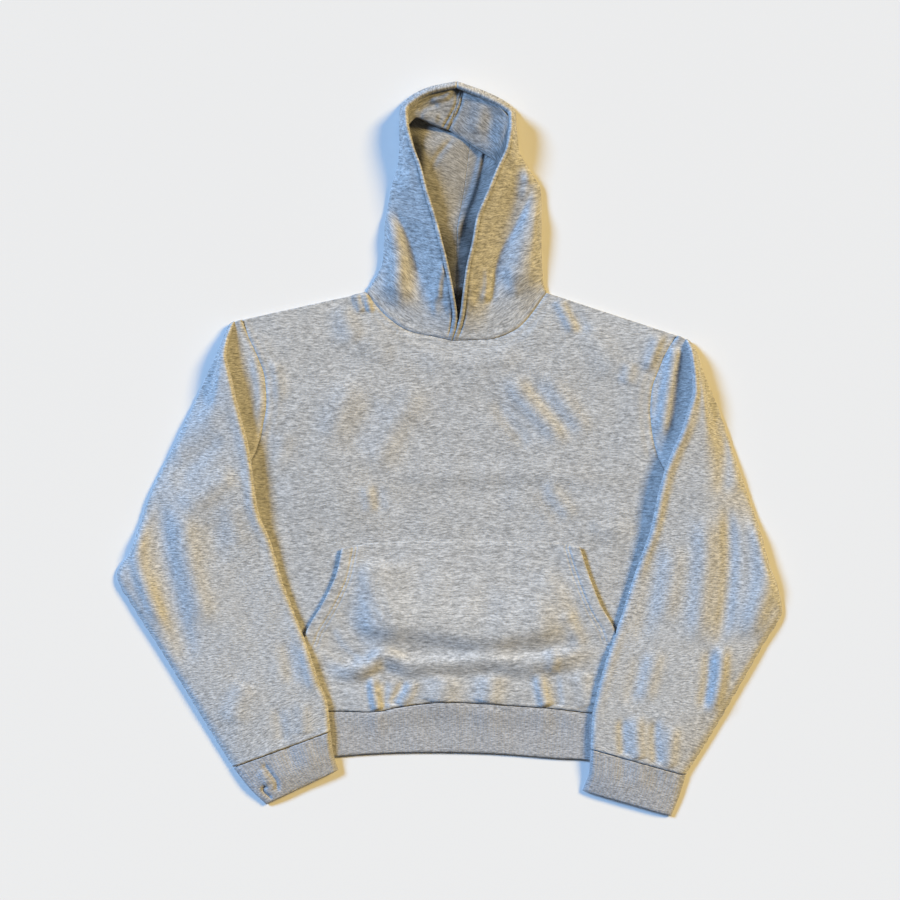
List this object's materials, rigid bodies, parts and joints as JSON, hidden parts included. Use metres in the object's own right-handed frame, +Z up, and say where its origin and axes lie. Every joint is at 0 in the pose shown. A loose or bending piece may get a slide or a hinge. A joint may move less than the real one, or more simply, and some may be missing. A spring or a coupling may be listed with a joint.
{
  "type": "pullover hoodie",
  "caption": "Pullover hoodie lying flat, front up, with an open hood, sleeves folded down over the body, a front hand pocket and ribbed hem and cuffs.",
  "frame": {"origin": "on the surface that the garment lies on, under the middle of the chest: a point of the back panel's flat underside", "axes": "+Z up off the surface, +Y from the hem towards the hood, +X towards the wearer's left sleeve"},
  "size_m": [0.799, 0.8825, 0.0379],
  "materials": {
    "fleece": "grey marl brushed fleece, matt",
    "rib": "grey marl rib knit, matt"
  },
  "bodies": {
    "root": {"back_panel": "fleece", "front_panel": "fleece", "pocket": "fleece", "hem_rib": "rib", "sleeve_right": "fleece", "sleeve_left": "fleece", "cuff_right": "rib", "cuff_left": "rib", "hood_right": "fleece", "hood_left": "fleece"}
  },
  "joints": []
}
